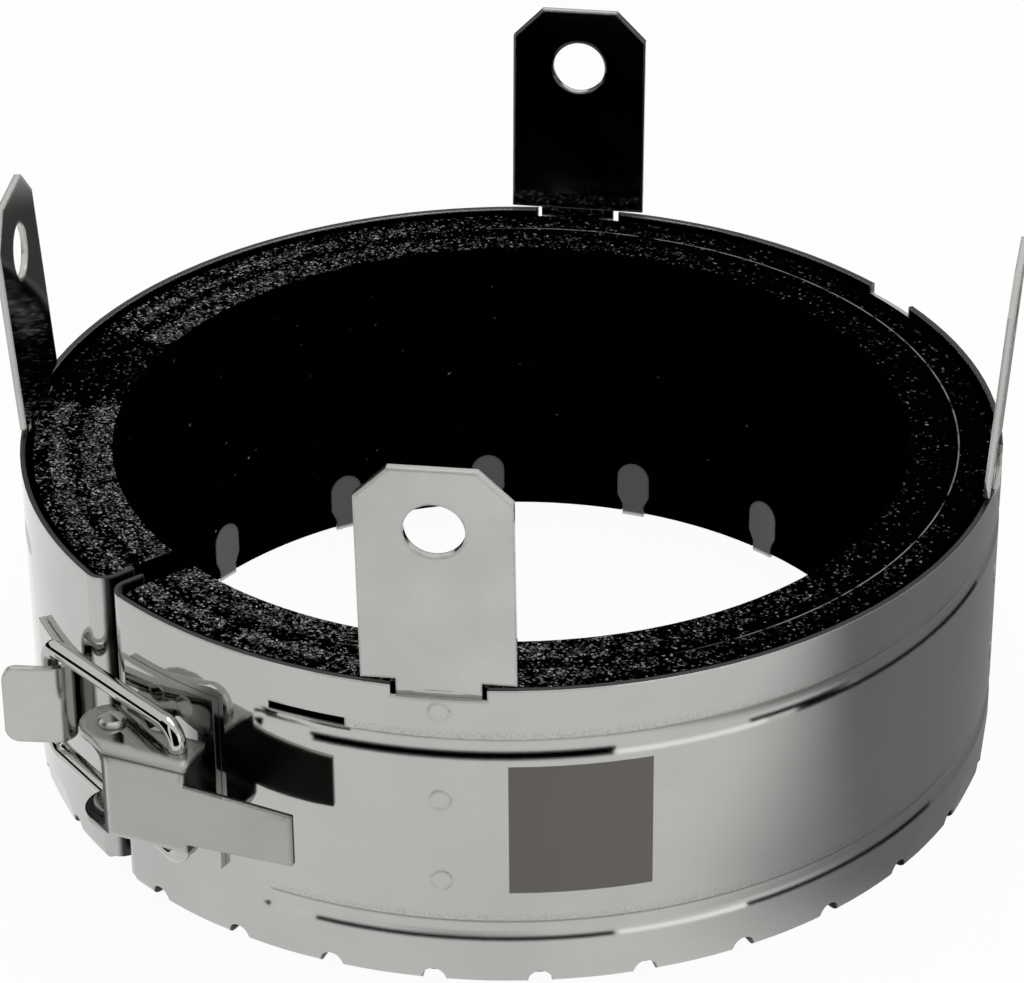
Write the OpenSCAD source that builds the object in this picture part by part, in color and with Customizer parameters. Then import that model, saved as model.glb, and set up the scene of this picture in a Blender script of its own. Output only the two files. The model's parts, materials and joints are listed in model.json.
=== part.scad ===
// Pipe fire collar: a steel band with an intumescent lining, fixing lugs and a toggle latch.
// Axis along +Z, origin on the axis in the plane of the bottom flange, millimetres.

/* [Band] */
// Outside diameter of the band
band_od = 140; // [120:1:180]
// Height of the band, from the flange to the rim
band_h = 47; // [42:0.5:70]
// Thickness of the folded sheet
sheet_t = 0.7; // [0.5:0.05:0.9]
// Direction of the gap, seen from above
gap_angle = -134; // [-180:1:180]
// Width of the gap between the two folded ends
gap_w = 1.6; // [1:0.1:3]
// Outside radius of the folds at the gap
end_fold_r = 2.8; // [2:0.1:4]
// Reach of the folded ends towards the axis, past the fold
end_flange = 3; // [1:0.1:5]

/* [Beads] */
// Depth of the beads rolled into the band
bead_in = 0.5; // [0.3:0.05:0.7]
// Height of a bead
bead_h = 3.4; // [3:0.1:4]
// Depth of the upper bead below the rim
upper_bead_drop = 9.1; // [8.8:0.1:11]
// Height of the lower bead above the bottom
lower_bead_z = 8.9; // [8:0.1:12]
// Angle from the gap to the start of each bead
bead_start = 24; // [20:1:40]
// Length of the slot over the start of the upper bead
slot_len = 11; // [6:0.5:16]
// Height of that slot
slot_h = 1.4; // [1:0.1:2]
// Depth of that slot's middle below the rim
slot_drop = 6.9; // [4:0.1:7]

/* [Flange] */
// Outside radius of the fold between band and flange
fold_r = 1.3; // [1:0.1:2]
// Inner radius of the plain flange tabs
tab_r = 58.4; // [57.6:0.1:60]
// Number of relief notches along the fold
notch_count = 30; // [20:1:36]
// Angle from the gap to the first notch
notch_first = 7.5; // [6:0.1:10]
// Angle between notches
notch_pitch = 11.8; // [8:0.1:12]
// Radius of a notch
notch_r = 1.65; // [1:0.05:2]
// Height of a notch's top above the bottom
notch_top = 2.2; // [1.8:0.1:3]
// Width of the slit between two tabs
slit_w = 0.8; // [0.4:0.1:1.2]
// Height above the bottom at which the flats of the tabs run out
flat_top = 4.4; // [3:0.1:5]

/* [Tongues] */
// Width of a tongue
tongue_w = 5.2; // [4:0.1:6]
// Width of a tongue's waist at the flange
waist_w = 3.5; // [2:0.1:3.8]
// Height of a tongue's tip above the bottom
tongue_h = 9.4; // [8:0.1:14]
// Height over which a tongue widens from its waist
waist_h = 3.6; // [3:0.1:4.5]
// Turn of each tongue from the middle of its tab
tongue_shift = -1.8; // [-2:0.1:2]

/* [Rim] */
// Width of the rim notch at each lug
rim_notch_w = 12.7; // [12:0.1:16]
// Depth of the rim notches
rim_notch_d = 1.7; // [1:0.1:3]
// Angle from the gap to the relief notch across from it
relief_angle = 176; // [170:0.5:190]
// Width of the relief notch
relief_w = 9; // [5:0.5:14]

/* [Lining] */
// Inside diameter of the lining, for the pipe
lining_id = 114; // [108:0.5:114]
// Depth of the lining's top below the rim
lining_drop = 0.7; // [0.3:0.1:3]
// Width of the gap in the lining
lining_gap = 5; // [4:0.1:8]
// Clearance between one layer and the next
layer_gap = 0.05; // [0.02:0.01:0.1]
// Clearance round a tongue in the innermost layer
pocket_gap = 0.15; // [0.1:0.05:0.3]

/* [Lugs] */
// Direction of the front lug
front_angle = -90; // [-96:0.5:-84]
// Direction of the right lug
right_angle = -3; // [-8:0.5:8]
// Direction of the back lug
back_angle = 89; // [82:0.5:98]
// Direction of the left lug
left_angle = 181; // [174:0.5:188]
// Thickness of a lug
lug_t = 1; // [0.6:0.05:1.05]
// Width of a lug above the rim
lug_w = 20.5; // [16:0.5:28]
// Height of a lug above the rim
lug_h = 33.4; // [32:0.5:50]
// Width of a lug's neck and foot
neck_w = 11.3; // [8:0.1:11.6]
// Height of a lug's shoulders above the rim
shoulder_h = 0.7; // [0.4:0.1:2]
// Length of a lug's foot below the rim
foot_len = 34; // [20:0.5:36]
// Size of the chamfers at a lug's top
lug_chamfer = 4.5; // [2:0.1:6]
// Diameter of the fixing hole
lug_hole_d = 8; // [5:0.1:10]
// Height of the fixing hole above the rim
lug_hole_h = 24.2; // [20:0.1:26]
// Outward lean of the lugs
lug_lean = 4; // [1:0.5:10]
// Clearance between a lug's foot and the band or the lining
foot_gap = 0.05; // [0.03:0.01:0.1]

/* [Latch] */
// Depth of the latch's middle below the rim
latch_drop = 22; // [20:0.5:24]
// Thickness of the latch's sheet parts
latch_t = 1; // [0.8:0.05:1.1]
// Height of the pivot over the tangent at the gap
pivot_out = 5.6; // [5.4:0.1:7]
// Distance of the pivot from the middle of the gap
pivot_along = 9.5; // [9:0.1:11]
// Diameter of the pivot rivet
rivet_d = 3; // [2:0.1:3.2]
// Diameter of the rivet's heads
rivet_head_d = 3.9; // [3.6:0.1:4.2]
// Height of the rivet's heads
rivet_head_h = 0.8; // [0.5:0.05:0.9]
// Clearance between parts that turn on each other
running_gap = 0.06; // [0.03:0.01:0.1]
// Clearance between parts that are welded together
weld_gap = 0.05; // [0.03:0.01:0.1]

/* [Lever] */
// Angle of the lever from the tangent at the gap
lever_turn = 28.5; // [24:0.5:30]
// Height of the lever over both cheeks
lever_h = 14.5; // [13.5:0.1:15]
// Distance of the lever's outer face from the pivot
web_out = 6.9; // [6.4:0.1:8]
// Radius of the lever's rolled corners
roll_r = 2.6; // [1.5:0.1:3]
// Radius of the lever's nose round the pivot
nose_r = 4.4; // [4:0.1:4.6]
// Distance from the pivot to the start of the lever's web
web_start = 2.9; // [2:0.1:5]
// Distance from the pivot to the end of the lever's cheeks
cheek_end = 13.9; // [13:0.1:16]
// Place of the cheeks' edge on the band's side, outwards from the pivot
cheek_back = -0.4; // [-0.8:0.1:0.4]
// Distance from the pivot to the tip of the lever
lever_len = 29.6; // [24:0.1:36]
// Height of the lever's tongue at its root
tongue_root_h = 9.2; // [8:0.1:9.4]
// Height of the lever's tongue at its tip
tongue_tip_h = 7.6; // [6:0.1:9]

/* [Bail] */
// Diameter of the bail's wire
wire_d = 2.5; // [2:0.1:2.6]
// Place of the bail's pin on the lever, outwards from the pivot
pin_out = 2.7; // [2.4:0.1:3]
// Place of the bail's pin on the lever, along it from the pivot
pin_along = 11.2; // [10.8:0.1:11.6]
// Height of the bail over its wire's middle at the lever
bail_lever_h = 21.2; // [21:0.1:24]
// Height of the bail over its wire's middle at the keeper
bail_keeper_h = 16.6; // [16.2:0.1:18]
// Height of the bail's closed end over the tangent at the gap
hook_out = 2.4; // [2.35:0.05:2.45]
// Distance of the bail's closed end from the middle of the gap
hook_along = 11; // [10.9:0.1:11.1]
// Radius of the bends in the bail's wire
bend_r = 2.4; // [2:0.1:3]

/* [Keeper] */
// Height of the keeper
keeper_h = 12; // [9:0.5:12]
// Inside radius of the keeper's curl
curl_r = 1.9; // [1.85:0.05:1.95]
// Angle from the gap to the middle of the keeper's curl
curl_angle = 8.3; // [8.2:0.1:8.4]
// Turn of the keeper's curl
curl_turn = 124; // [120:1:126]
// Length of the keeper's lip
lip_len = 6.8; // [5:0.1:8]
// Radius of the lip's corners
lip_corner = 2; // [1:0.1:3]
// Angle from the gap to the far edge of the keeper's foot
keeper_end = 17; // [15:0.5:20]

/* [Base] */
// Height of the latch base
base_h = 27; // [22:0.5:28]
// Angle from the gap to the near edge of the latch base
base_near = 4.6; // [4:0.1:6]
// Angle from the gap to the far edge of the latch base
base_far = 18; // [16:0.5:22]
// Radius of the base's ears round the pivot
ear_r = 3.2; // [2.6:0.1:3.6]
// Half of the width of an ear where it leaves the base
ear_foot = 4; // [3.5:0.1:5]

/* [Hidden] */

$fn = 96;
band_r = band_od / 2;
inner_r = band_r - sheet_t;
latch_z = band_h - latch_drop;
spare = 1;
far = band_od;

// Middle of the fold at the gap's edge, with the gap along +X
fold_y = gap_w / 2 + end_fold_r;
fold_x = sqrt(pow(band_r - end_fold_r, 2) - pow(fold_y, 2));
end_angle = atan2(fold_y, fold_x);
fold_seat = 0.3;
sheet_draw = 0.02;

// Lining
lug_outer = inner_r - foot_gap;
lining_or = lug_outer - lug_t - foot_gap;
lining_ir = lining_id / 2;
layer_count = 5;
layer_t = (lining_or - lining_ir) / layer_count;
lining_top = band_h - lining_drop;

// Beads and fold
upper_bead_z = band_h - upper_bead_drop;
bead_r = (pow(bead_h / 2, 2) + pow(bead_in, 2)) / (2 * bead_in);
slot_lag = 0.6;
bead_steps = 8;
fold_steps = 4;

// Flange tabs between the notches
tab_count = notch_count - 1;
tab_half = notch_pitch / 2;
flat_r = band_r * cos(tab_half);

// Latch
cheek_out = lever_h / 2;
cheek_in = cheek_out - latch_t;
ear_out = cheek_in - running_gap;
leaf_r = band_r + weld_gap;
leaf_or = leaf_r + latch_t;
pivot = [band_r + pivot_out, pivot_along];
lever_dir = [cos(lever_turn), sin(lever_turn)];
lever_run = [-sin(lever_turn), cos(lever_turn)];
pin = pivot + pin_out * lever_dir + pin_along * lever_run;
hook = [band_r + hook_out, -hook_along];
nose_turn = 20;
bail_len = norm(pin - hook);
bail_angle = atan2(hook[1] - pin[1], hook[0] - pin[0]);
wire_draw = 0.02;
bend_seat = 0.25;
curl_seat = 0.3;
curl_c = (leaf_or + curl_r) * [cos(curl_angle), -sin(curl_angle)];

steel = [0.78, 0.78, 0.77];
bright_steel = [0.84, 0.84, 0.83];
graphite = [0.05, 0.05, 0.055];

function tab_angle(i) = notch_first + notch_pitch * (i + 0.5);
function wire_dir(a, b) = (b - a) / norm(b - a);

// Flat ring
module ring2d(outer, inner) {
    difference() {
        circle(r = outer);
        circle(r = inner);
    }
}

// Ring standing on z0
module ring(outer, inner, z0, z1) {
    translate([0, 0, z0])
        linear_extrude(z1 - z0)
            ring2d(outer, inner);
}

// Wedge of the plane between two directions less than 180 degrees apart
module sector2d(from, to, reach) {
    middle = (from + to) / 2;
    corner = reach / cos((to - from) / 2);
    polygon([
        [0, 0],
        reach * [cos(from), sin(from)],
        corner * [cos(middle), sin(middle)],
        reach * [cos(to), sin(to)]
    ]);
}

// Sets an outline drawn across the band (x) and up it (y) through the band at an angle
module through_band(angle, from, to) {
    rotate([0, 0, angle])
        translate([from, 0, 0])
            rotate([90, 0, 90])
                linear_extrude(to - from)
                    children();
}

// Plan of one folded end of the band, with the gap along +X, a hair thinner where it seats in the wall
module end_fold2d() {
    seat = atan2(fold_seat, end_fold_r);
    translate([fold_x, fold_y])
        intersection() {
            ring2d(end_fold_r - sheet_draw, end_fold_r - sheet_t + sheet_draw);
            sector2d(-90, end_angle + seat, end_fold_r + spare);
        }
    translate([fold_x - end_flange, gap_w / 2 + sheet_draw])
        square([end_flange, sheet_t - 2 * sheet_draw]);
}

// Points of a round stretch
function arc(centre, radius, from, to, steps) =
    [for (i = [0 : steps])
        let (angle = from + (to - from) * i / steps)
        centre + radius * [cos(angle), sin(angle)]];

// Section of the band: wall, fold and flange
function band_section() = concat(
    [[tab_r, 0]],
    arc([band_r - fold_r, fold_r], fold_r, -90, 0, fold_steps),
    [[band_r, band_h], [inner_r, band_h]],
    arc([band_r - fold_r, fold_r], fold_r - sheet_t, 0, -90, fold_steps),
    [[tab_r, sheet_t]]
);

// Section of a bead, round the middle of its hollow and cut off at a radius
function bead_section(radius, cut_r) =
    let (centre_r = band_r + bead_r - bead_in, half = acos((centre_r - cut_r) / radius))
    arc([centre_r, 0], radius, 180 - half, 180 + half, bead_steps);

// Section turned about the axis between two angles from the gap
module turned(from, to, section) {
    rotate([0, 0, from])
        rotate_extrude(angle = to - from)
            polygon(section);
}

// Wall with its fold and flange
module band_wall() {
    turned(end_angle, 360 - end_angle, band_section());
}

// Both beads with round ends, their hollows grown by a margin and cut off at a radius
module beads(margin, cut_r) {
    hollow = bead_r + margin;
    centre_r = band_r + bead_r - bead_in;
    for (z = [lower_bead_z, upper_bead_z])
        translate([0, 0, z]) {
            turned(bead_start, 360 - bead_start, bead_section(hollow, cut_r));
            for (end = [bead_start, 360 - bead_start])
                intersection() {
                    rotate([0, 0, end])
                        translate([centre_r, 0, 0])
                            sphere(r = hollow - sheet_draw);
                    translate([0, 0, -hollow])
                        cylinder(r = cut_r - sheet_draw, h = 2 * hollow);
                }
        }
}

// Both folded ends
module band_ends() {
    for (side = [0, 1])
        mirror([0, side, 0])
            translate([0, 0, fold_r])
                linear_extrude(band_h - fold_r - sheet_draw)
                    end_fold2d();
}

// Outline of a tongue, from the flange up, grown by a margin
module tongue2d(margin) {
    half = tongue_w / 2 + margin;
    waist = waist_w / 2 + margin;
    tip_z = tongue_h - tongue_w / 2;
    translate([0, tip_z])
        circle(r = half);
    polygon([
        [-waist, 0], [waist, 0], [waist, waist_h / 2],
        [half, waist_h], [half, tip_z], [-half, tip_z],
        [-half, waist_h], [-waist, waist_h / 2]
    ]);
}

// All the tongues, on every second tab
module tongues(margin, depth) {
    for (i = [1 : 2 : tab_count - 1])
        intersection() {
            through_band(tab_angle(i) + tongue_shift, lining_ir - spare, lining_ir + depth + spare)
                tongue2d(margin);
            ring(lining_ir + depth, lining_ir, -spare, tongue_h + margin + spare);
        }
}

// Strips that join the tongues to their tabs, drawn thinner by a hair where they seat in both
module tongue_roots() {
    width = waist_w - 2 * sheet_draw;
    for (i = [1 : 2 : tab_count - 1])
        rotate([0, 0, tab_angle(i) + tongue_shift])
            translate([lining_ir + sheet_t / 2, -width / 2, sheet_draw])
                cube([tab_r - lining_ir, width, sheet_t - 2 * sheet_draw]);
}

// Cuts between the flange tabs: a round notch in the fold and a slit through the flange
module tab_cuts() {
    for (k = [0 : notch_count - 1])
        rotate([0, 0, notch_first + notch_pitch * k]) {
            translate([tab_r + (band_r - tab_r) / 2, 0, notch_top - notch_r])
                rotate([0, 90, 0])
                    cylinder(r = notch_r, h = band_r, $fn = 32);
            translate([lining_ir - spare, -slit_w / 2, -spare])
                cube([band_r - fold_r - lining_ir + spare, slit_w, sheet_t + 2 * spare]);
        }
}

// Cuts that leave the foot of the band flat along each tab
module tab_flats() {
    lean = atan2(band_r - flat_r, flat_top);
    chord = 2 * band_r * sin(tab_half);
    for (i = [0 : tab_count - 1])
        rotate([0, 0, tab_angle(i)])
            translate([flat_r, 0, 0])
                rotate([0, lean, 0])
                    translate([0, -chord / 2, -spare])
                        cube([fold_r, chord, flat_top + 2 * spare]);
}

// Cuts in the rim and the slot below it, in the band's own frame
module rim_cuts() {
    for (angle = [front_angle, right_angle, back_angle, left_angle])
        through_band(angle - gap_angle, inner_r - spare, band_r + spare)
            translate([-rim_notch_w / 2, band_h - rim_notch_d])
                square([rim_notch_w, rim_notch_d + spare]);
    through_band(relief_angle, inner_r - spare, band_r + spare)
        translate([-relief_w / 2, band_h - rim_notch_d])
            square([relief_w, rim_notch_d + spare]);
    slot_turn = bead_start + slot_lag + asin(slot_len / band_od);
    through_band(slot_turn, inner_r - spare, band_r + spare)
        translate([0, band_h - slot_drop])
            square([slot_len, slot_h], center = true);
}

module band_casing() {
    color(bright_steel)
        rotate([0, 0, gap_angle])
            difference() {
                union() {
                    band_wall();
                    beads(sheet_t, inner_r + sheet_t / 2);
                    band_ends();
                    tongues(0, sheet_t);
                    tongue_roots();
                }
                beads(0, band_r + sheet_t / 2);
                tab_cuts();
                tab_flats();
                rim_cuts();
            }
}

// One layer of the lining, counted from the pipe outwards
module intumescent_layer(i) {
    inside = lining_ir + (i - 1) * layer_t;
    color(graphite)
        rotate([0, 0, gap_angle])
            difference() {
                translate([0, 0, sheet_t])
                    linear_extrude(lining_top - sheet_t)
                        difference() {
                            ring2d(inside + layer_t - layer_gap, inside);
                            translate([0, -lining_gap / 2])
                                square([far, lining_gap]);
                        }
                if (i == 1)
                    tongues(pocket_gap, sheet_t + pocket_gap);
            }
}

// Outline of a lug's plate and neck, from the rim up
module lug2d() {
    half = lug_w / 2;
    neck = neck_w / 2;
    polygon([
        [-neck, -rim_notch_d], [neck, -rim_notch_d], [neck, shoulder_h],
        [half, shoulder_h], [half, lug_h - lug_chamfer], [half - lug_chamfer, lug_h],
        [lug_chamfer - half, lug_h], [-half, lug_h - lug_chamfer], [-half, shoulder_h],
        [-neck, shoulder_h]
    ]);
}

// Fixing lug: a leaning plate on a curved foot inside the band, relieved over the upper bead
module lug(angle) {
    half_turn = asin(lug_w / band_od);
    color(steel)
        rotate([0, 0, angle]) {
            translate([lug_outer, 0, band_h])
                rotate([0, lug_lean, 0])
                    translate([-lug_t, 0, 0])
                        rotate([90, 0, 90])
                            linear_extrude(lug_t)
                                difference() {
                                    lug2d();
                                    translate([0, lug_hole_h])
                                        circle(d = lug_hole_d);
                                }
            difference() {
                intersection() {
                    ring(lug_outer, lug_outer - lug_t, band_h - foot_len, band_h - rim_notch_d / 2);
                    translate([0, -neck_w / 2, 0])
                        cube([band_r, neck_w, band_h]);
                }
                translate([0, 0, upper_bead_z])
                    turned(-half_turn, half_turn, bead_section(bead_r + sheet_t + foot_gap, inner_r));
            }
        }
}

module lug_front() {
    lug(front_angle);
}

module lug_right() {
    lug(right_angle);
}

module lug_back() {
    lug(back_angle);
}

module lug_left() {
    lug(left_angle);
}

// Flat outline of the keeper's lip, seated in the curl and rounded at its free end
module lip2d() {
    half = keeper_h / 2 - sheet_draw;
    translate([-curl_seat, -half])
        square([lip_len - lip_corner + curl_seat, 2 * half]);
    translate([0, lip_corner - half])
        square([lip_len, 2 * (half - lip_corner)]);
    for (side = [-1, 1])
        translate([lip_len - lip_corner, side * (half - lip_corner)])
            circle(r = lip_corner, $fn = 48);
}

// Keeper of the latch: a foot on the band, a curl near the gap and a lip that flares outwards;
// foot and lip are drawn thinner by a hair where they seat in the curl
module keeper_hook() {
    curl_from = 180 - curl_angle;
    curl_to = curl_from - curl_turn;
    seat_angle = atan2(curl_seat, leaf_or);
    color(steel)
        rotate([0, 0, gap_angle])
            translate([0, 0, latch_z]) {
                translate([0, 0, -keeper_h / 2])
                    linear_extrude(keeper_h) {
                        intersection() {
                            ring2d(leaf_or - sheet_draw, leaf_r + sheet_draw);
                            sector2d(-keeper_end, seat_angle - curl_angle, far);
                        }
                        translate(curl_c)
                            intersection() {
                                ring2d(curl_r + latch_t, curl_r);
                                sector2d(curl_to, curl_from, far);
                            }
                    }
                translate([curl_c[0], curl_c[1], 0])
                    rotate([0, 0, curl_to])
                        translate([curl_r + sheet_draw, 0, 0])
                            mirror([0, 1, 0])
                                rotate([90, 0, 90])
                                    linear_extrude(latch_t - 2 * sheet_draw)
                                        lip2d();
            }
}

// Plan of one ear of the latch base
module ear2d() {
    difference() {
        union() {
            translate(pivot)
                circle(r = ear_r);
            foot_turn = atan2(pivot[1], pivot[0]);
            rotate(foot_turn)
                polygon([
                    [leaf_or - latch_t / 2, -ear_foot], [leaf_or - latch_t / 2, ear_foot],
                    [norm(pivot), ear_r], [norm(pivot), -ear_r]
                ]);
        }
        translate(pivot)
            circle(d = rivet_d + 2 * running_gap);
        circle(r = leaf_r);
    }
}

// Base of the latch: a curved plate on the band with two ears
module latch_base() {
    color(steel)
        rotate([0, 0, gap_angle])
            translate([0, 0, latch_z]) {
                translate([0, 0, -base_h / 2])
                    linear_extrude(base_h)
                        intersection() {
                            ring2d(leaf_or, leaf_r);
                            sector2d(base_near, base_far, far);
                        }
                for (side = [0, 1])
                    mirror([0, 0, side])
                        translate([0, 0, ear_out - latch_t])
                            linear_extrude(latch_t)
                                ear2d();
            }
}

// Section of the lever's channel: outwards along x, up along y
module channel2d() {
    depth = web_out + nose_r;
    difference() {
        round_end2d(depth, cheek_out, roll_r);
        translate([-latch_t, 0])
            round_end2d(depth, cheek_in, roll_r - latch_t);
    }
}

// Bar that ends on the lever's outer face with two rounded corners
module round_end2d(depth, half, corner) {
    translate([web_out - depth, -half])
        square([depth - corner, 2 * half]);
    translate([web_out - depth, corner - half])
        square([depth, 2 * (half - corner)]);
    for (side = [-1, 1])
        translate([web_out - corner, side * (half - corner)])
            circle(r = corner, $fn = 48);
}

// Plan of the lever's cheeks: outwards along x, along the lever along y
module cheek2d() {
    tangent = nose_r * [cos(nose_turn), -sin(nose_turn)];
    circle(r = nose_r);
    polygon([
        tangent, [web_out, web_start],
        [web_out, cheek_end], [cheek_back, cheek_end],
        [cheek_back, nose_r + spare], -tangent
    ]);
}

// Lever of the latch: a folded channel with two cheeks and a flat thumb tongue
module latch_lever() {
    color(bright_steel)
        rotate([0, 0, gap_angle])
            translate([pivot[0], pivot[1], latch_z])
                rotate([0, 0, lever_turn])
                    difference() {
                        union() {
                            intersection() {
                                translate([0, cheek_end, 0])
                                    rotate([90, 0, 0])
                                        linear_extrude(cheek_end + nose_r)
                                            channel2d();
                                translate([0, 0, -lever_h])
                                    linear_extrude(2 * lever_h)
                                        cheek2d();
                            }
                            translate([web_out - latch_t, 0, 0])
                                rotate([90, 0, 90])
                                    linear_extrude(latch_t)
                                        polygon([
                                            [cheek_end - spare, -tongue_root_h / 2],
                                            [lever_len, -tongue_tip_h / 2],
                                            [lever_len, tongue_tip_h / 2],
                                            [cheek_end - spare, tongue_root_h / 2]
                                        ]);
                        }
                        translate([0, 0, -lever_h])
                            cylinder(d = rivet_d + 2 * running_gap, h = 2 * lever_h);
                        translate([pin_out, pin_along, -lever_h])
                            cylinder(d = wire_d + 2 * running_gap, h = 2 * lever_h);
                    }
}

// Straight run of wire between two points of a plane, drawn thinner by a hair so that it seats in the bends
module wire_run(a, b) {
    run = b - a;
    translate([a[0], a[1], 0])
        rotate([0, 0, atan2(run[1], run[0])])
            rotate([0, 90, 0])
                cylinder(d = wire_d - 2 * wire_draw, h = norm(run), $fn = 48);
}

// Bend of the wire at a corner of a plane path
module wire_bend(before, corner, after) {
    from = wire_dir(before, corner);
    to = wire_dir(corner, after);
    turn = atan2(from[0] * to[1] - from[1] * to[0], from * to);
    side = sign(turn);
    normal = side * [-from[1], from[0]];
    centre = corner - bend_r * tan(abs(turn) / 2) * from + bend_r * normal;
    start = atan2(-normal[1], -normal[0]);
    translate([centre[0], centre[1], 0])
        rotate([0, 0, side > 0 ? start : start + turn])
            rotate_extrude(angle = abs(turn))
                translate([bend_r, 0])
                    circle(d = wire_d, $fn = 48);
}

// Length of a run that a bend takes up at a corner
function bend_take(before, corner, after) =
    let (from = wire_dir(before, corner), to = wire_dir(corner, after))
    bend_r * tan(acos(from * to) / 2);

// Start of a run at a corner, a little inside the bend
function reach(take) = take > 0 ? take - bend_seat : 0;

// Wire bent along a plane path with the same radius at every corner
module bent_wire(path) {
    last = len(path) - 1;
    take = [for (i = [0 : last]) i == 0 || i == last ? 0 : bend_take(path[i - 1], path[i], path[i + 1])];
    for (i = [0 : last - 1]) {
        run = wire_dir(path[i], path[i + 1]);
        wire_run(path[i] + reach(take[i]) * run, path[i + 1] - reach(take[i + 1]) * run);
    }
    for (i = [1 : last - 1])
        wire_bend(path[i - 1], path[i], path[i + 1]);
}

// Bail of the latch: a wire loop from the lever's cheeks to the keeper
module bail_wire() {
    at_lever = bail_lever_h / 2;
    at_keeper = bail_keeper_h / 2;
    pin_end = cheek_in - latch_t / 2;
    color(bright_steel)
        rotate([0, 0, gap_angle])
            translate([pin[0], pin[1], latch_z])
                rotate([0, 0, bail_angle])
                    rotate([90, 0, 0])
                        bent_wire([
                            [0, pin_end], [0, at_lever], [bail_len, at_keeper],
                            [bail_len, -at_keeper], [0, -at_lever], [0, -pin_end]
                        ]);
}

// Pivot rivet through the lever's cheeks and the base's ears
module pivot_rivet() {
    head_z = cheek_out + running_gap;
    shank = rivet_d / 2;
    rim = rivet_head_d / 2;
    edge = rivet_head_h / 2;
    tip_z = head_z + rivet_head_h;
    color(steel)
        rotate([0, 0, gap_angle])
            translate([pivot[0], pivot[1], latch_z])
                rotate_extrude()
                    polygon([
                        [0, -tip_z], [rim - edge, -tip_z], [rim, edge - tip_z], [rim, -head_z],
                        [shank, -head_z], [shank, head_z],
                        [rim, head_z], [rim, tip_z - edge], [rim - edge, tip_z], [0, tip_z]
                    ]);
}

band_casing();
intumescent_layer(1);  // intumescent_layer_1
intumescent_layer(2);  // intumescent_layer_2
intumescent_layer(3);  // intumescent_layer_3
intumescent_layer(4);  // intumescent_layer_4
intumescent_layer(5);  // intumescent_layer_5
lug_front();
lug_right();
lug_back();
lug_left();
keeper_hook();
latch_base();
latch_lever();
bail_wire();
pivot_rivet();
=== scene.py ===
# %% [markdown]
# # A pipe fire collar, dressed for its picture
# The collar is a stainless steel band with a black swelling lining, four fixing lugs and a toggle latch.
# Its solids come ready from CAD, so this lesson only gives them their finishes, adds the small things that
# are too fine for CAD, and sets up the studio. Everything is in metres, in the frame of the CAD model.

# %% Load the frame
import json
import math

import bpy
from mathutils import Matrix, Vector


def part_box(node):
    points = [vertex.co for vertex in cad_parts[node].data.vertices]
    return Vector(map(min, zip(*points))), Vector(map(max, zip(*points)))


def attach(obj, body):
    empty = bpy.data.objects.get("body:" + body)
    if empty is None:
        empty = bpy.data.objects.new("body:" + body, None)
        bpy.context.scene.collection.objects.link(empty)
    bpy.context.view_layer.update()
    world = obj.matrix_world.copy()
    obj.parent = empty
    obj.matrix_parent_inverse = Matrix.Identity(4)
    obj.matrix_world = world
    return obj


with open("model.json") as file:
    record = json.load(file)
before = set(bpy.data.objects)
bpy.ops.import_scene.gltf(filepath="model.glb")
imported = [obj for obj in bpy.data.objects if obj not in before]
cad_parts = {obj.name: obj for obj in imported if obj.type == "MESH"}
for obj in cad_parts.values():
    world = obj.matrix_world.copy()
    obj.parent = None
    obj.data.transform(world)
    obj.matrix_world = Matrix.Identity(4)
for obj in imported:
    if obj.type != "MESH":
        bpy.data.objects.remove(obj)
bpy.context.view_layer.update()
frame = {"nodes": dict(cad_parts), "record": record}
nodes = frame["nodes"]
MM = 0.001
print("loaded", len(nodes), "nodes:", ", ".join(sorted(nodes)))

# %% [markdown]
# ## Measures that the finishes share
# Marks on the steel have to sit where the solids are. They could be typed in as numbers, but measured ones
# stay right when the CAD changes. The band's box gives its radius and height, the mounts of the record give
# the direction of each lug, and the lever's hinge gives the place of the pivot.

# %% Measure the collar
band_low, band_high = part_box("band_casing")
BAND_H = band_high.z
BAND_R = (band_high.x - band_low.x) / 2
LINING_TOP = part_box("intumescent_layer_1")[1].z
BORE_R = 57 * MM
LUG_ANGLES = {
    mount["name"].removeprefix("lug_hole_"): math.degrees(math.atan2(mount["pos_m"][1], mount["pos_m"][0]))
    for mount in frame["record"]["mounts"] if mount["name"].startswith("lug_hole_")
}
hinge = frame["record"]["behaviour"]["joints"][0]["pos_m"]
PIVOT_ANGLE = math.degrees(math.atan2(hinge[1], hinge[0]))
print(f"band radius {BAND_R / MM:.1f} mm, height {BAND_H / MM:.1f} mm, pivot at {PIVOT_ANGLE:.1f} degrees")
print("lugs at", LUG_ANGLES)


def on_band(angle, height, radius=BAND_R):
    """Point of the band's outside at an angle in degrees and a height in metres."""
    turn = math.radians(angle)
    return Vector((radius * math.cos(turn), radius * math.sin(turn), height))


# %% [markdown]
# ## A small language for shaders
# A shader is a net of nodes, and sums read better as sums. The class below wraps one socket: adding or
# multiplying two wraps adds the Math node that does it. Every other kind of node comes from `node`, which
# sets the node's own settings first and then fills or links its sockets.

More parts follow.
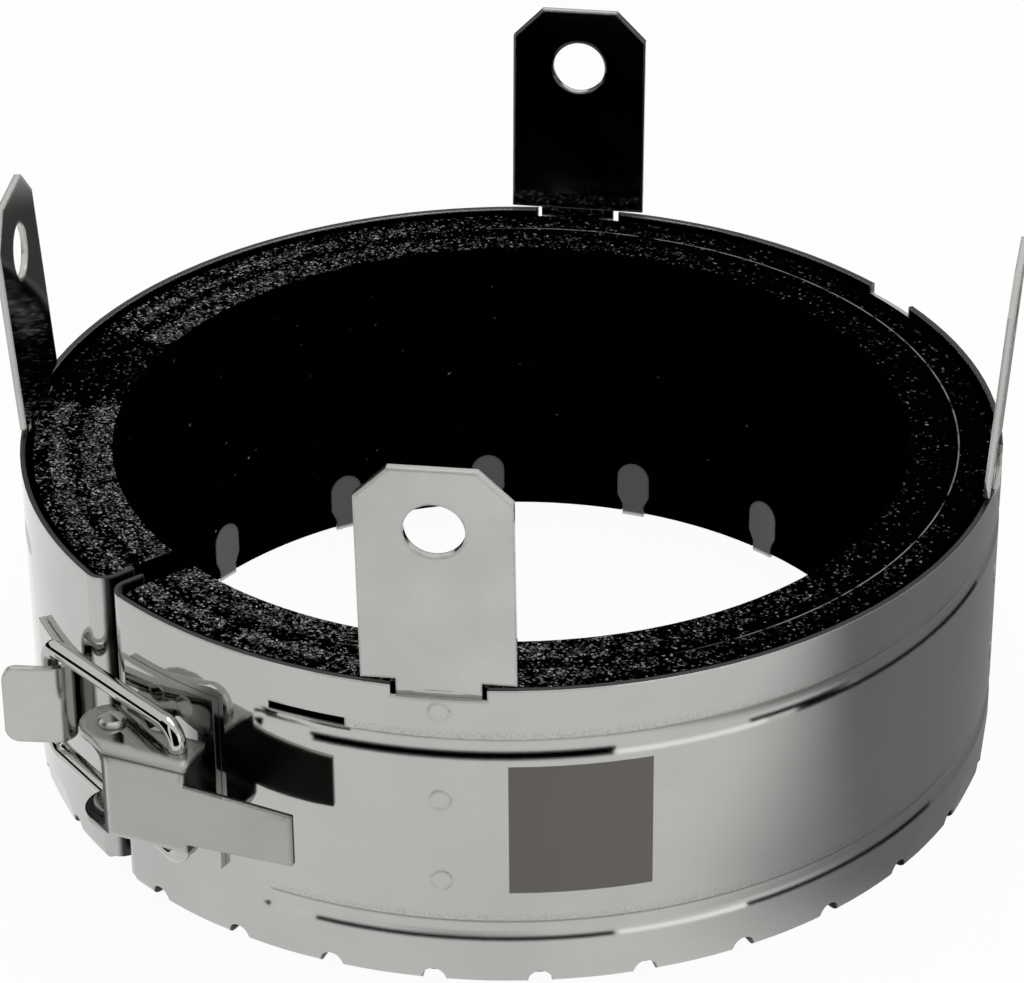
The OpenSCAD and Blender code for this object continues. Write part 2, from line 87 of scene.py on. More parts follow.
# %% Wrap a socket
class Wire:
    def __init__(self, socket):
        self.socket = socket
        self.tree = socket.id_data

    @staticmethod
    def node(tree, kind, settings=None, sockets=None, out=0):
        made = tree.nodes.new(kind)
        for name, value in (settings or {}).items():
            setattr(made, name, value)
        for name, value in (sockets or {}).items():
            if isinstance(value, Wire):
                tree.links.new(value.socket, made.inputs[name])
            else:
                made.inputs[name].default_value = value
        return Wire(made.outputs[out]) if made.outputs else None

    def sum(self, operation, first, second):
        return Wire.node(self.tree, "ShaderNodeMath", {"operation": operation}, {0: first, 1: second})

    def __add__(self, other):
        return self.sum("ADD", self, other)

    def __radd__(self, other):
        return self.sum("ADD", other, self)

    def __sub__(self, other):
        return self.sum("SUBTRACT", self, other)

    def __rsub__(self, other):
        return self.sum("SUBTRACT", other, self)

    def __mul__(self, other):
        return self.sum("MULTIPLY", self, other)

    def __rmul__(self, other):
        return self.sum("MULTIPLY", other, self)

    def __pow__(self, other):
        return self.sum("POWER", self, other)

    def __or__(self, other):
        return self.sum("MAXIMUM", self, other)

    def __lt__(self, other):
        return self.sum("LESS_THAN", self, other)

    def __gt__(self, other):
        return self.sum("GREATER_THAN", self, other)

    def __abs__(self):
        return self.sum("ABSOLUTE", self, 0.0)


print("wires ready, with", sum(callable(part) for part in vars(Wire).values()), "methods")

# %% [markdown]
# ## Helpers that every finish uses
# Each finish starts from the object's own coordinates, because the solids have no UV map. `ease` turns a
# value into a soft mask between two limits, `window` keeps what lies between two limits, `noise` gives grain
# at a scale in repeats per metre, and `blend` mixes two colours by a mask.

# %% Masks and colours
def new_finish(name):
    material = bpy.data.materials.new(name)
    material.use_nodes = True
    tree = material.node_tree
    tree.nodes.clear()
    place = Wire.node(tree, "ShaderNodeTexCoord", out="Object")
    print("new finish:", material.name)
    return material, tree, place


def ease(value, start, end):
    return Wire.node(value.tree, "ShaderNodeMapRange", {"interpolation_type": "SMOOTHSTEP"},
                     {"Value": value, "From Min": start, "From Max": end})


def window(value, limits, edge):
    return ease(value, limits[0] - edge, limits[0]) * (1 - ease(value, limits[1], limits[1] + edge))


def noise(place, scale, detail=3.0):
    return Wire.node(place.tree, "ShaderNodeTexNoise", None,
                     {"Vector": place, "Scale": scale, "Detail": detail})


def stretch(place, scale):
    return Wire.node(place.tree, "ShaderNodeMapping", None, {"Vector": place, "Scale": scale})


def blend(mask, first, second):
    ends = [colour if isinstance(colour, Wire) else (*colour, 1) for colour in (first, second)]
    return Wire.node(mask.tree, "ShaderNodeMix", {"data_type": "RGBA"}, {0: mask, 6: ends[0], 7: ends[1]}, 2)


print("masks and colours ready")


# %% Places on the collar
def axis_of(place, name):
    return Wire.node(place.tree, "ShaderNodeSeparateXYZ", None, {0: place}, name)


def radius_of(place):
    x, y = axis_of(place, "X"), axis_of(place, "Y")
    return (x * x + y * y) ** 0.5


def bearing_of(place):
    """Angle round the pipe's axis in degrees."""
    x, y = axis_of(place, "X"), axis_of(place, "Y")
    return x.sum("ARCTAN2", y, x) * math.degrees(1)


print("places ready")

# %% [markdown]
# ## Light on the edges
# Folded sheet has no sharp corners. The solids could be bevelled, but a CAD mesh stays as it is. A Bevel
# node rounds the light on every edge by a small radius instead, and a Bump node adds the fine relief to it.

# %% Close a finish
BEVEL_SAMPLES = 2


def finish_surface(tree, sockets, bump, bump_depth, edge_r=0.0):
    relief = {"Height": bump, "Strength": 1.0, "Distance": bump_depth}
    if edge_r:
        relief["Normal"] = Wire.node(tree, "ShaderNodeBevel", {"samples": BEVEL_SAMPLES}, {"Radius": edge_r})
    sockets["Normal"] = Wire.node(tree, "ShaderNodeBump", None, relief)
    surface = Wire.node(tree, "ShaderNodeBsdfPrincipled", None, sockets)
    Wire.node(tree, "ShaderNodeOutputMaterial", None, {"Surface": surface})
    print("a finish of", len(tree.nodes), "nodes")


# %% [markdown]
# ## Bright stainless sheet
# The band is cold-rolled stainless steel, almost a mirror. It takes its tone from the white floor that it
# reflects, so its base colour is the grey that the eye should see. A real sheet is never perfect: cloudy
# smears change its roughness, and fine rolling lines run round the band. Both are kept faint. The bail wire
# has this finish as it is, and the band, the lever and the latch base start from it.

# %% Bright steel
STEEL_TONE = (0.47, 0.475, 0.455)
SMEAR_TONE = (0.42, 0.425, 0.41)
SMEAR_SCALE = 55.0
SMEAR_LIMITS = (0.35, 0.75)
SMEAR_SHARE, LINE_SHARE = 0.6, 0.25
ROLLING_SCALE = (25.0, 25.0, 2600.0)
ROLLING_DEPTH = 0.0008 * MM
STEEL_ROUGH, SMEAR_ROUGH, LINE_ROUGH = 0.025, 0.03, 0.04


def steel_sheet(place, tone, smear):
    cloud = ease(noise(place, SMEAR_SCALE, detail=4.0), *SMEAR_LIMITS)
    lines = noise(stretch(place, ROLLING_SCALE), 1.0, detail=2.0)
    colour = blend(cloud * SMEAR_SHARE + lines * LINE_SHARE, tone, smear)
    roughness = cloud * SMEAR_ROUGH + lines * LINE_ROUGH + STEEL_ROUGH
    return colour, roughness, lines


bright_steel, tree, place = new_finish("bright_steel")
colour, roughness, lines = steel_sheet(place, STEEL_TONE, SMEAR_TONE)
finish_surface(tree, {"Base Color": colour, "Metallic": 1.0, "Roughness": roughness}, lines, ROLLING_DEPTH)

# %% [markdown]
# ## Welds and patch on the band
# Spot welds hold each lug, and heat leaves a faint brown ring round each of them. A plain matte patch is
# etched beside the front lug. Both could be painted on an image, but the solids have no UV map. Distance
# from a point makes a ring, and limits of angle and height make the patch.

# %% Weld rings and patch
WELD_HEIGHTS = (43.4 * MM, 29.6 * MM, 16.8 * MM)
WELD_SPOTS = [on_band(angle, height) for angle in LUG_ANGLES.values() for height in WELD_HEIGHTS]
WELD_R = 1.5 * MM
WELD_RING = 0.5 * MM
BLOTCH_SCALE = 700.0
BLOTCH_LIMITS = (0.4, 0.7)
PATCH_ANGLE = (-82.6, -66.9)
PATCH_ANGLE_EDGE = 0.08
PATCH_HEIGHT = (15.1 * MM, 35.1 * MM)
PATCH_HEIGHT_EDGE = 0.1 * MM


def ring_mark(place, spot):
    away = Wire.node(place.tree, "ShaderNodeVectorMath", {"operation": "DISTANCE"},
                     {0: place, 1: spot}, "Value")
    return 1 - ease(abs(away - WELD_R), 0.0, WELD_RING)


def weld_rings(place):
    rings = ring_mark(place, WELD_SPOTS[0])
    for spot in WELD_SPOTS[1:]:
        rings = rings | ring_mark(place, spot)
    return rings * ease(noise(place, BLOTCH_SCALE, detail=2.0), *BLOTCH_LIMITS)


def etched_patch(place):
    sideways = window(bearing_of(place), PATCH_ANGLE, PATCH_ANGLE_EDGE)
    return sideways * window(axis_of(place, "Z"), PATCH_HEIGHT, PATCH_HEIGHT_EDGE)


print(len(WELD_SPOTS), "weld spots on the band")

# %% [markdown]
# ## Tongues and rolling dots
# Low inside the bore, tongues are bent up from the flange. They are dull and dark, and painted lighter at the
# right as painted light, where the floor shines on them. On the outside, the roller leaves a line of fine
# dots above each bead. Both lie where a radius, a height and an angle say, so soft limits of those pick them
# out.

# %% Tongues and rolling dots
TONGUE_R = (BORE_R + 0.8 * MM, BORE_R + 1.2 * MM)
TONGUE_FOOT = (0.2 * MM, 0.8 * MM)
TONGUE_LIT = (30 * MM, 52 * MM)
TONGUE_CLOUD_SCALE = 380.0
TONGUE_CLOUD_LIMITS = (0.25, 0.6)
TONGUE_DARK_TONE = (0.08, 0.084, 0.08)
TONGUE_FLOOR_LIGHT_TONE = (0.28, 0.285, 0.275)
GAP_ANGLE = -134.0
ROLL_HEIGHTS = (10.8 * MM, 39.8 * MM)
ROLL_W = 1.2 * MM
ROLL_START = (22.0, 28.0)
DOT_SCALE = 2600.0
DOT_LIMITS = (0.4, 0.65)


def tongue_mask(place):
    return (1 - ease(radius_of(place), *TONGUE_R)) * ease(axis_of(place, "Z"), *TONGUE_FOOT)


# Painted light: the tongues turn lighter towards the right, where the floor shines on them.
def tongue_painted_light(place):
    cloud = ease(noise(place, TONGUE_CLOUD_SCALE, detail=2.0), *TONGUE_CLOUD_LIMITS)
    return blend(ease(axis_of(place, "X"), *TONGUE_LIT) * cloud, TONGUE_DARK_TONE, TONGUE_FLOOR_LIGHT_TONE)


def from_gap(place):
    """Degrees round the band, counted one way from the gap."""
    bearing = bearing_of(place)
    return bearing.sum("FLOORED_MODULO", bearing - GAP_ANGLE, 360.0)


def off_gap(place):
    """Degrees away from the gap, the shorter way round."""
    turn = from_gap(place)
    return turn.sum("PINGPONG", turn, 180.0)


def rolling_dots(place):
    z = axis_of(place, "Z")
    off_roll = z.sum("MINIMUM", abs(z - ROLL_HEIGHTS[0]), abs(z - ROLL_HEIGHTS[1]))
    dots = ease(noise(place, DOT_SCALE, detail=2.0), *DOT_LIMITS)
    return (1 - ease(off_roll, 0.0, ROLL_W)) * ease(off_gap(place), *ROLL_START) * dots


print("rolling dots at heights", ROLL_HEIGHTS)

# %% [markdown]
# ## Painted shade on the cut edges
# The cut edges of the rim and of the notches and the inside of the gap are painted nearly black as painted
# shade, because nothing bright is near them. The notches lie at an even pitch round the band, so one PINGPONG
# sum finds them all.

# %% Painted shade on cut edges
RIM_EDGE = (BAND_H - 0.08 * MM, BAND_H - 0.02 * MM)
NOTCH_FIRST, NOTCH_PITCH, NOTCH_HALF, NOTCH_FADE = 7.5, 11.8, 1.5, 0.1
NOTCH_HEIGHT = (0.2 * MM, 5 * MM)
NOTCH_HEIGHT_EDGE = 0.2 * MM
NOTCH_WALL = (BAND_R - 0.4 * MM, BAND_R - 0.2 * MM)
GAP_HALF, GAP_FADE = 2.4, 0.5
GAP_WALL = (BAND_R - 1.5 * MM, BAND_R - 0.7 * MM)


def notch_shade(place):
    turn = from_gap(place) - NOTCH_FIRST
    off_notch = turn.sum("PINGPONG", turn, NOTCH_PITCH / 2)
    notch = 1 - ease(off_notch, NOTCH_HALF, NOTCH_HALF + NOTCH_FADE)
    notch = notch * window(axis_of(place, "Z"), NOTCH_HEIGHT, NOTCH_HEIGHT_EDGE)
    return notch * (1 - ease(radius_of(place), *NOTCH_WALL))


# Painted shade: the rim's top, the notches and the inside of the gap are coloured nearly black.
def painted_edge_shade(place, tongue):
    rim = ease(axis_of(place, "Z"), *RIM_EDGE)
    gap = 1 - ease(off_gap(place), GAP_HALF, GAP_HALF + GAP_FADE)
    gap = gap * (1 - ease(radius_of(place), *GAP_WALL))
    return rim | notch_shade(place) * (1 - tongue) | gap


print("notches every", NOTCH_PITCH, "degrees")

# %% [markdown]
# ## The band's finish
# Bright sheet comes first, and each mark is laid over it in turn: the roller's dots, the heat of the welds
# and the etched patch, which the work left on the real band, then the tongues with their painted floor light,
# and last the painted shade of the cut edges.

# %% Band finish
ROLL_TONE, ROLL_SHARE = (0.30, 0.30, 0.285), 0.5
HEAT_TONE, HEAT_SHARE = (0.33, 0.28, 0.21), 0.45
PATCH_TONE = (0.135, 0.125, 0.108)
# EDGE_SHADE_TONE is the colour of the painted shade on the cut edges.
EDGE_SHADE_TONE = (0.04, 0.04, 0.04)
PATCH_ROUGH, TONGUE_ROUGH, WELD_ROUGH, EDGE_ROUGH = 0.4, 0.25, 0.06, 0.2
PATCH_DULL, TONGUE_DULL = 0.85, 0.6
EDGE_R = 0.6 * MM

band_steel, tree, place = new_finish("band_steel")
colour, roughness, lines = steel_sheet(place, STEEL_TONE, SMEAR_TONE)
welds, patch, tongue = weld_rings(place), etched_patch(place), tongue_mask(place)
edge = painted_edge_shade(place, tongue)
colour = blend(rolling_dots(place) * ROLL_SHARE, colour, ROLL_TONE)
colour = blend(welds * HEAT_SHARE, colour, HEAT_TONE)
colour = blend(patch, colour, PATCH_TONE)
# Dark tongues with painted floor light at the right.
colour = blend(tongue, colour, tongue_painted_light(place))
# Painted shade on the rim, the notches and the gap.
colour = blend(edge, colour, EDGE_SHADE_TONE)
roughness = roughness + patch * PATCH_ROUGH + tongue * TONGUE_ROUGH + welds * WELD_ROUGH + edge * EDGE_ROUGH
metallic = 1 - patch * PATCH_DULL - tongue * TONGUE_DULL
finish_surface(tree, {"Base Color": colour, "Metallic": metallic, "Roughness": roughness},
               lines, ROLLING_DEPTH, EDGE_R)

# %% [markdown]
# ## The lever
# The lever is folded from the same sheet. Its outside keeps the bright sheet, while its inside, which faces
# the band, is duller and painted dark as painted shade. A plane along the lever parts the two, so the
# distance of a point from the hinge, measured outwards across the lever, makes the mask, and a limit of
# height keeps it off the cheeks.

# %% Lever finish
LEVER_ANGLE = math.radians(-105.5)
LEVER_TONE = (0.37, 0.375, 0.355)
LEVER_SMEAR = (0.31, 0.315, 0.30)
LEVER_EDGE_R = 1.2 * MM
HOLLOW_SHADE_TONE = (0.03, 0.03, 0.028)
HOLLOW_DEPTH = (6.2 * MM, 6.5 * MM)
HOLLOW_HALF = (6.3 * MM, 6.5 * MM)
HOLLOW_ROUGH = 0.3

lever_steel, tree, place = new_finish("lever_steel")
colour, roughness, lines = steel_sheet(place, LEVER_TONE, LEVER_SMEAR)
x, y, z = [axis_of(place, name) - middle for name, middle in zip("XYZ", hinge)]
out = x * math.cos(LEVER_ANGLE) + y * math.sin(LEVER_ANGLE)
# Painted shade: the lever's inside, which faces the band, is coloured dark.
hollow_shade = (1 - ease(out, *HOLLOW_DEPTH)) * (1 - ease(abs(z), *HOLLOW_HALF))
colour = blend(hollow_shade, colour, HOLLOW_SHADE_TONE)
roughness = roughness + hollow_shade * HOLLOW_ROUGH
finish_surface(tree, {"Base Color": colour, "Metallic": 1.0, "Roughness": roughness},
               lines, ROLLING_DEPTH, LEVER_EDGE_R)

# %% [markdown]
# ## The latch base
# The base is folded from the band's sheet and shines as the band does. Its far edge lies in the shade of the
# lever and looks dark, so soft limits of angle and height darken the plate towards that edge.

# %% Base finish
BASE_END = max(math.degrees(math.atan2(v.co.y, v.co.x)) for v in nodes["latch_base"].data.vertices)
BASE_SHADE = (BASE_END - 5.0, BASE_END - 1.0)
SHADE_HEIGHT = (hinge[2] - 8 * MM, hinge[2] + 5 * MM)
SHADE_TONE = (0.13, 0.13, 0.125)
BASE_EDGE_R = 0.3 * MM
print(f"the base ends at {BASE_END:.1f} degrees")

base_steel, tree, place = new_finish("base_steel")
colour, roughness, lines = steel_sheet(place, STEEL_TONE, SMEAR_TONE)
shade = ease(bearing_of(place), *BASE_SHADE) * ease(axis_of(place, "Z"), *SHADE_HEIGHT)
colour = blend(shade, colour, SHADE_TONE)
finish_surface(tree, {"Base Color": colour, "Metallic": 1.0, "Roughness": roughness},
               lines, ROLLING_DEPTH, BASE_EDGE_R)

# %% [markdown]
# ## Satin steel for lugs and fittings
# The lugs, the keeper and the rivet are made of plain stock that is a touch duller than the band. Their
# grain has no one direction, so a fine even noise takes the place of the rolling lines.

# %% Satin steel
SATIN_TONE = (0.50, 0.50, 0.475)
SATIN_SMEAR = (0.43, 0.43, 0.41)
CLOUD_SCALE = 90.0
CLOUD_LIMITS = (0.3, 0.75)
CLOUD_SHARE, GRAIN_SHARE = 0.7, 0.3
GRAIN_SCALE = 2200.0
GRAIN_DEPTH = 0.001 * MM
SATIN_ROUGH, CLOUD_ROUGH, GRAIN_ROUGH = 0.03, 0.04, 0.05

satin_steel, tree, place = new_finish("satin_steel")
cloud = ease(noise(place, CLOUD_SCALE, detail=4.0), *CLOUD_LIMITS)
grain = noise(place, GRAIN_SCALE, detail=2.0)
colour = blend(cloud * CLOUD_SHARE + grain * GRAIN_SHARE, SATIN_TONE, SATIN_SMEAR)
roughness = cloud * CLOUD_ROUGH + grain * GRAIN_ROUGH + SATIN_ROUGH
finish_surface(tree, {"Base Color": colour, "Metallic": 1.0, "Roughness": roughness},
               grain, GRAIN_DEPTH, EDGE_R)

# %% [markdown]
# ## Where the lining glitters
# The lining is black graphite strip, cut across at the top so that its flakes glitter there. The flakes are
# painted more often and brighter towards the left as painted glints, because the light catches them from
# there, except in the painted shade beside the left lug, and soft clouds keep it uneven. A pale film shows as
# a thin line along one layer.

# %% Glitter and film
GLITTER_ANGLE = math.radians(-155.0)
GLITTER_REACH = (-60 * MM, 50 * MM)
GLITTER_LEAST = 0.1
LUG_SHADE = (162.0, 178.5)
LUG_SHADE_EDGE, LUG_SHADE_DEPTH = 3.0, 0.8
FILM_LAYER = 4
FILM_TONE = (0.26, 0.265, 0.28)
FILM_R = 63.72 * MM
FILM_W = 0.25 * MM
FILM_SPAN = (-45.0, 85.0)
FILM_FADE = 20
FILM_RAG_SCALE = 420.0
FILM_RAG_LIMITS = (0.3, 0.55)


# Painted glints and painted shade: more and brighter flakes towards the left, fewer beside the left lug.
def painted_glint_share(place):
    toward = axis_of(place, "X") * math.cos(GLITTER_ANGLE) + axis_of(place, "Y") * math.sin(GLITTER_ANGLE)
    glitter = ease(toward, *GLITTER_REACH) * (1 - GLITTER_LEAST) + GLITTER_LEAST
    return glitter * (1 - window(bearing_of(place), LUG_SHADE, LUG_SHADE_EDGE) * LUG_SHADE_DEPTH)


def film_line(place):
    ragged = ease(noise(place, FILM_RAG_SCALE), *FILM_RAG_LIMITS)
    along = window(bearing_of(place), FILM_SPAN, FILM_FADE)
    return (1 - ease(radius_of(place), FILM_R + FILM_W / 2, FILM_R + FILM_W)) * along * ragged


print("film on layer", FILM_LAYER)

# %% [markdown]
# ## Intumescent strip
# Flakes could be thousands of tiny faces, but a pattern is lighter and looks the same. Cells of a Voronoi
# pattern, each with its own lot, make flakes of less than half a millimetre: the lot says whether a cell has
# a flake and how bright it is, and a fine noise tears its outline. A mask by height keeps them on the cut
# edge, because the skin along the bore is smooth and nearly pure black, and each layer has its own share.

# %% Lining finish
BLACK_TONE = (0.0006, 0.0006, 0.0007)
# The flakes' pale tone is partly their own grey and partly painted glint.
FLAKE_TONE = (0.62, 0.63, 0.65)
FLAKE_SCALE = 2600.0
FLAKE_SHARE = {1: 0.9, 2: 0.95, 3: 0.35, 4: 1.0, 5: 0.5}
SKIN_SHARE = 0.003
CUT_EDGE = (LINING_TOP - 0.2 * MM, LINING_TOP - 0.05 * MM)
BARE_R = (67.9 * MM, 68.5 * MM)
PATCHY_SCALE, PATCHY_LIMITS, PATCHY_LEAST = 300.0, (0.3, 0.62), 0.3
TEAR_SCALE, TEAR_LIMITS = FLAKE_SCALE * 1.3, (0.42, 0.62)
SHINE_GAIN, SHINE_LEAST, GLITTER_BASE = 0.9, 0.07, 0.4
CRUMB_SCALE = 1500.0
FLAKE_DEPTH = 0.2 * MM
LINING_ROUGH = 0.8


def flakes(place, top, layer):
    glitter = painted_glint_share(place)
    patchy = ease(noise(place, PATCHY_SCALE), *PATCHY_LIMITS) * (1 - PATCHY_LEAST) + PATCHY_LEAST
    cell = {"Vector": place, "Scale": FLAKE_SCALE}
    lot = Wire.node(place.tree, "ShaderNodeTexVoronoi", None, cell, "Color")
    chance, shine = [Wire.node(place.tree, "ShaderNodeSeparateColor", None, {"Color": lot}, channel)
                     for channel in ("Red", "Green")]
    bare = ease(radius_of(place), *BARE_R)
    share = (top * (1 - SKIN_SHARE) + SKIN_SHARE) * (1 - bare) * glitter * patchy * FLAKE_SHARE[layer]
    speck = ease(noise(place, TEAR_SCALE, detail=2.0), *TEAR_LIMITS) * (chance < share)
    # Painted glint: specks are brighter where the glint share is high.
    return speck * (shine * shine * SHINE_GAIN + SHINE_LEAST) * (glitter * (1 - GLITTER_BASE) + GLITTER_BASE)


def lining_finish(layer):
    material, tree, place = new_finish(f"intumescent_{layer}")
    top = ease(axis_of(place, "Z"), *CUT_EDGE)
    flake = flakes(place, top, layer)
    colour = blend(flake, BLACK_TONE, FLAKE_TONE)
    if layer == FILM_LAYER:
        colour = blend(top * film_line(place), colour, FILM_TONE)
    finish_surface(tree, {"Base Color": colour, "Roughness": LINING_ROUGH, "Specular IOR Level": 0.0},
                   noise(place, CRUMB_SCALE) * top + flake, FLAKE_DEPTH)
    return material


LINING = {layer: lining_finish(layer) for layer in FLAKE_SHARE}

# %% [markdown]
# ## Dress the CAD solids
# A CAD node keeps its mesh and only changes what is in its material slots. Every node that isn't named here
# is satin steel.

# %% Assign finishes
FINISHES = {"band_casing": band_steel, "latch_lever": lever_steel, "bail_wire": bright_steel,
            "latch_base": base_steel}
for name, node in nodes.items():
    if name.startswith("intumescent_layer_"):
        FINISHES[name] = LINING[int(name[-1])]
    material = FINISHES.get(name, satin_steel)
    node.data.materials.clear()
    node.data.materials.append(material)
    print(f"{name}: {material.name}")

# %% [markdown]
# ## Weld marks
# A spot weld leaves a shallow dish with a low round rim where the electrode pressed. It could be a bump in
# the finish, but a mirror shows real shape better. One mark starts as a flat disc sunk into the sheet. Two
# insets of its outer face make the rim and the dish, and smooth shading rounds the one into the other. Each
# weld gets its own, on the band and on the latch base.

# %% Model one weld mark
MARK_SIDES = 32
MARK_DEPTH = 0.3 * MM
MARK_PROUD = 0.03 * MM
RIM_W = 0.3 * MM
DISH_DEPTH = 0.025 * MM
FACES_OUT = 0.9
SMOOTH_ANGLE = math.radians(30)


def deselect():
    bpy.ops.object.select_all(action="DESELECT")


def weld_mark(spot):
    deselect()
    outward = Vector((spot.x, spot.y, 0)).normalized()
    middle = spot + outward * (MARK_PROUD - MARK_DEPTH / 2)
    bpy.ops.mesh.primitive_cylinder_add(vertices=MARK_SIDES, radius=WELD_R, depth=MARK_DEPTH, location=middle,
                                        rotation=outward.to_track_quat("Z", "Y").to_euler())
    mark = bpy.context.object
    bpy.ops.object.transform_apply(location=True, rotation=True, scale=True)
    for face in mark.data.polygons:
        face.select = face.normal.dot(outward) > FACES_OUT
    bpy.ops.object.mode_set(mode="EDIT")
    bpy.ops.mesh.select_mode(type="FACE")
    bpy.ops.mesh.inset(thickness=RIM_W)
    bpy.ops.mesh.inset(thickness=RIM_W, depth=-DISH_DEPTH)
    bpy.ops.object.mode_set(mode="OBJECT")
    bpy.ops.object.shade_smooth_by_angle(angle=SMOOTH_ANGLE)
    return mark


print(f"a weld mark is {WELD_R * 2 / MM:.1f} mm wide")

# %% [markdown]
# ## One piece of all the marks
# The marks are all fixed to the collar, so they are joined into one piece, which rides on that body.

# %% Join the weld marks
BASE_OUTSIDE_R = BAND_R + 1.05 * MM
BASE_WELD_TURNS = (2.7, 6.8)
BASE_WELD_HEIGHT = 36 * MM

base_spots = [on_band(PIVOT_ANGLE + turn, BASE_WELD_HEIGHT, BASE_OUTSIDE_R) for turn in BASE_WELD_TURNS]
marks = [weld_mark(spot) for spot in WELD_SPOTS + base_spots]
deselect()
for mark in marks:
    mark.select_set(True)
bpy.context.view_layer.objects.active = marks[0]
bpy.ops.object.join()
welds_piece = bpy.context.object
welds_piece.name = "weld_marks"
bpy.ops.object.transform_apply(location=True, rotation=True, scale=True)
welds_piece.data.materials.clear()
welds_piece.data.materials.append(band_steel)
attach(welds_piece, "collar")
print("weld marks:", len(welds_piece.data.polygons), "faces")

# %% [markdown]
# ## Floor
# The floor is a plain pale sheet. The camera sees it as white, while its diffuse part keeps the soft shadow
# of the collar. Mirrors see it as white too, but the light pool fades to grey at the right and to black at
# the back left, and so does the steel that looks that way.

# %% Floor
FLOOR_SIZE = 6.0
FLOOR_TONE = (0.9, 0.9, 0.9, 1)
FLOOR_SHADOW = 0.05
WHITE = (1, 1, 1)
FADE_X = (28 * MM, 62 * MM)
FADE_Y = (-90 * MM, -38 * MM)
FADE_TONE = (0.22, 0.22, 0.22)
DARK_X = (-46 * MM, -12 * MM)
DARK_Y = (104 * MM, 164 * MM)
DARK_EDGE = 44 * MM
DARK_TONE = (0.02, 0.02, 0.02)


def ray(tree, kind):
    return Wire.node(tree, "ShaderNodeLightPath", out=f"Is {kind} Ray")


def seen_white(tree):
    """1 for the camera, for glass and for mirrors, 0 for the light that falls on things."""
    return ray(tree, "Camera") | ray(tree, "Transmission") | ray(tree, "Glossy")


deselect()
bpy.ops.mesh.primitive_plane_add(size=FLOOR_SIZE, location=(0, 0, 0))
floor = bpy.context.object
floor.name = "floor"
material, tree, place = new_finish("pale_floor")
matte = Wire.node(tree, "ShaderNodeBsdfDiffuse", None, {"Color": FLOOR_TONE})
mirrored, x, y = ray(tree, "Glossy"), axis_of(place, "X"), axis_of(place, "Y")
tone = blend(mirrored * ease(x, *FADE_X) * ease(y, *FADE_Y), WHITE, FADE_TONE)
tone = blend(mirrored * window(x, DARK_X, DARK_EDGE) * window(y, DARK_Y, DARK_EDGE), tone, DARK_TONE)
shining = Wire.node(tree, "ShaderNodeEmission", None, {"Color": tone, "Strength": 1.0})
factor = seen_white(tree) * (1 - FLOOR_SHADOW)
mixed = Wire.node(tree, "ShaderNodeMixShader", None, {0: factor, 1: matte, 2: shining})
Wire.node(tree, "ShaderNodeOutputMaterial", None, {"Surface": mixed})
floor.data.materials.append(material)
print("floor", floor.dimensions[:2])

# %% [markdown]
# ## World
# The world round the floor is white for the camera and for mirrors, and softer as a light.

# %% World
WORLD_LIGHT = 0.55

world = bpy.data.worlds.new("studio")
bpy.context.scene.world = world
world.use_nodes = True
tree = world.node_tree
tree.nodes.clear()
strength = seen_white(tree) * (1 - WORLD_LIGHT) + WORLD_LIGHT
sky = Wire.node(tree, "ShaderNodeBackground", None, {"Color": (*WHITE, 1), "Strength": strength})
Wire.node(tree, "ShaderNodeOutputWorld", None, {"Surface": sky})
print("world light", WORLD_LIGHT)

# %% [markdown]
# ## Dark flags
# Bright steel shows what stands round it, so a photographer frames it with black cards. They stand all round
# the collar and draw the dark lines in the beads, the rolled edges and the wire. They are studio gear: only
# mirrors see them, they throw no shadow, and a reflection of a reflection passes through them, so that the
# folds of the latch stay light.

# %% Flags
FLAG_TONE = (0.002, 0.002, 0.002, 1)
FIRST_REFLECTION = 1.5
# Each flag's azimuth in degrees, then its distance, width, height and slide to the side in metres.
FLAGS = {
    "front_flag": (-114.0, 0.175, 0.226, 0.16, 0.102),
    "left_flag": (-114.0, 0.175, 0.165, 0.16, -0.1325),
    "right_flag": (5.0, 0.30, 0.50, 0.10, 0.0),
    "back_flag": (100.0, 0.30, 0.50, 0.10, 0.0),
    "side_flag": (178.0, 0.30, 0.40, 0.10, 0.0),
}


def flag_finish(name):
    material, tree, _ = new_finish(name)
    black = Wire.node(tree, "ShaderNodeBsdfDiffuse", None, {"Color": FLAG_TONE})
    clear = Wire.node(tree, "ShaderNodeBsdfTransparent")
    bounces = Wire.node(tree, "ShaderNodeLightPath", out="Ray Depth")
    card = Wire.node(tree, "ShaderNodeMixShader", None, {0: bounces > FIRST_REFLECTION, 1: black, 2: clear})
    Wire.node(tree, "ShaderNodeOutputMaterial", None, {"Surface": card})
    return material


def dark_flag(name, azimuth, away, width, height, slide):
    turn = math.radians(azimuth)
    outward = Vector((math.cos(turn), math.sin(turn), 0))
    along = Vector((-math.sin(turn), math.cos(turn), 0))
    middle = outward * away + along * slide + Vector((0, 0, height / 2))
    deselect()
    bpy.ops.mesh.primitive_plane_add(size=1, location=middle, rotation=(math.pi / 2, 0, turn + math.pi / 2))
    flag = bpy.context.object
    flag.scale = (width, height, 1)
    bpy.ops.object.transform_apply(location=True, rotation=True, scale=True)
    flag.name = name
    flag.visible_camera = flag.visible_diffuse = flag.visible_shadow = flag.visible_transmission = False
    flag.data.materials.append(flag_finish(name))


for name, measures in FLAGS.items():
    dark_flag(name, *measures)
print("flags:", list(FLAGS))

# %% [markdown]
# ## Lights
# A soft box overhead and one to the right give the white lines on the beads and edges and a soft shadow. A
# small lamp would give hard points on such bright steel, so both boxes are wide and not very bright.

# %% Soft boxes
# Each box's place and size in metres, then its radiance.
SOFT_BOXES = {
    "top_box": ((0.05, 0.15, 0.9), (0.7, 0.5), 2.0),
    "right_box": ((0.72, -0.69, 0.35), (0.6, 0.6), 0.55),
}


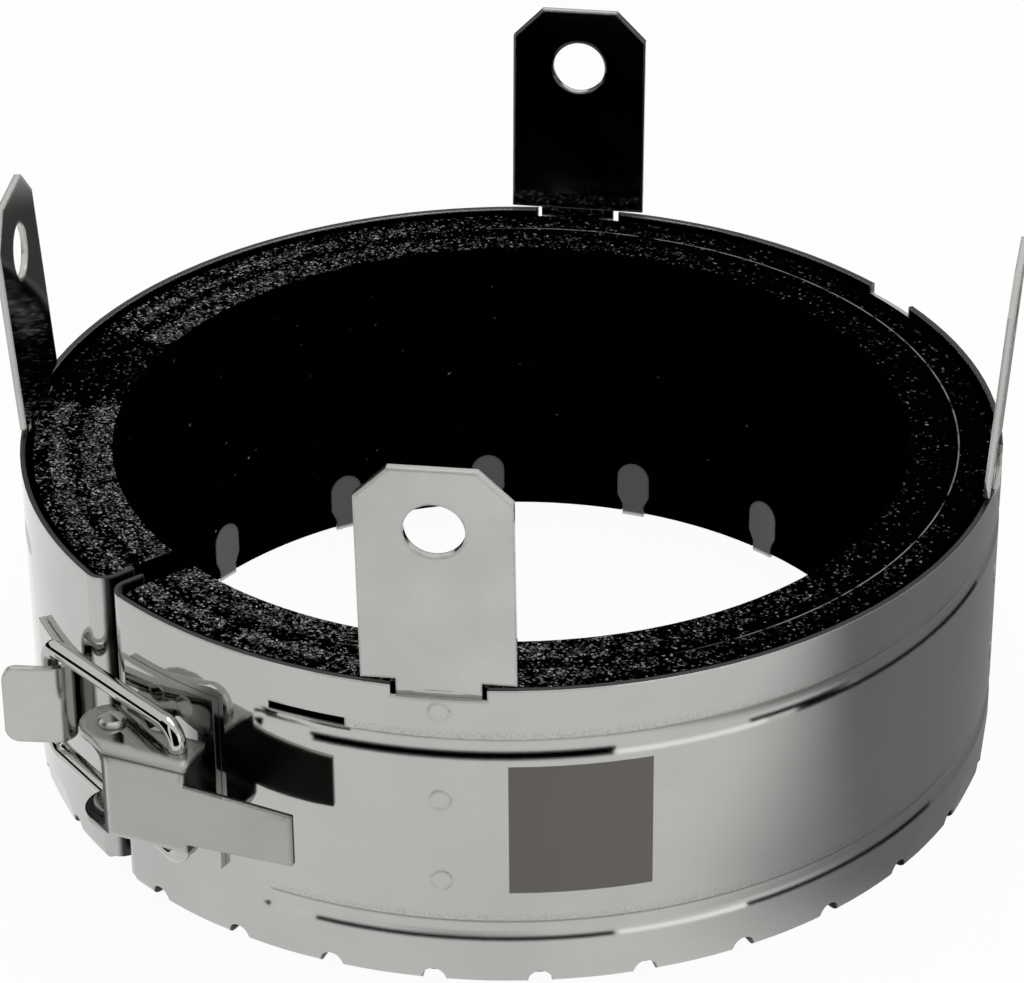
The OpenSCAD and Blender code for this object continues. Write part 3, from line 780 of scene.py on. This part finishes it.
def soft_box(name, place, size, radiance):
    lamp = bpy.data.lights.new(name, "AREA")
    lamp.shape = "RECTANGLE"
    lamp.size, lamp.size_y = size
    lamp.energy = radiance * math.pi * size[0] * size[1]
    made = bpy.data.objects.new(name, lamp)
    made.location = place
    made.rotation_euler = (-Vector(place)).to_track_quat("-Z", "Y").to_euler()
    bpy.context.scene.collection.objects.link(made)
    print(f"{name}: {lamp.energy:.2f} W")


for name, measures in SOFT_BOXES.items():
    soft_box(name, *measures)

# %% [markdown]
# ## Camera
# The picture looks down on the collar from the front with a long lens. The place and the slight roll were
# worked out from the ellipse of the rim, so they are written as angles and distances from that rim.

# %% Camera
VIEW_AZIMUTH = math.radians(8.0)
VIEW_ELEVATION = math.radians(30.26)
VIEW_ROLL = math.radians(0.49)
VIEW_DISTANCE = 602.84 * MM
VIEW_RIGHT = 0.03 * MM
VIEW_UP = -9.6 * MM
LENS = 148.1
CLIP_NEAR, CLIP_FAR = 0.01, 20.0

right = Vector((math.cos(VIEW_AZIMUTH), math.sin(VIEW_AZIMUTH), 0))
level = Vector((-math.sin(VIEW_AZIMUTH), math.cos(VIEW_AZIMUTH), 0))
up = Vector((0, 0, math.cos(VIEW_ELEVATION))) + level * math.sin(VIEW_ELEVATION)
forward = level * math.cos(VIEW_ELEVATION) - Vector((0, 0, math.sin(VIEW_ELEVATION)))
rim_centre = Vector((0, 0, BAND_H))

camera_data = bpy.data.cameras.new("camera")
camera_data.lens = LENS
camera_data.clip_start, camera_data.clip_end = CLIP_NEAR, CLIP_FAR
camera = bpy.data.objects.new("camera", camera_data)
bpy.context.scene.collection.objects.link(camera)
image_right = right * math.cos(VIEW_ROLL) - up * math.sin(VIEW_ROLL)
image_up = right * math.sin(VIEW_ROLL) + up * math.cos(VIEW_ROLL)
turn = Matrix((image_right, image_up, -forward)).transposed().to_4x4()
spot = rim_centre - forward * VIEW_DISTANCE + right * VIEW_RIGHT + up * VIEW_UP
camera.matrix_world = Matrix.Translation(spot) @ turn
bpy.context.scene.camera = camera
bpy.context.scene.view_settings.view_transform = "Standard"
print("camera at", [round(v, 4) for v in camera.location])
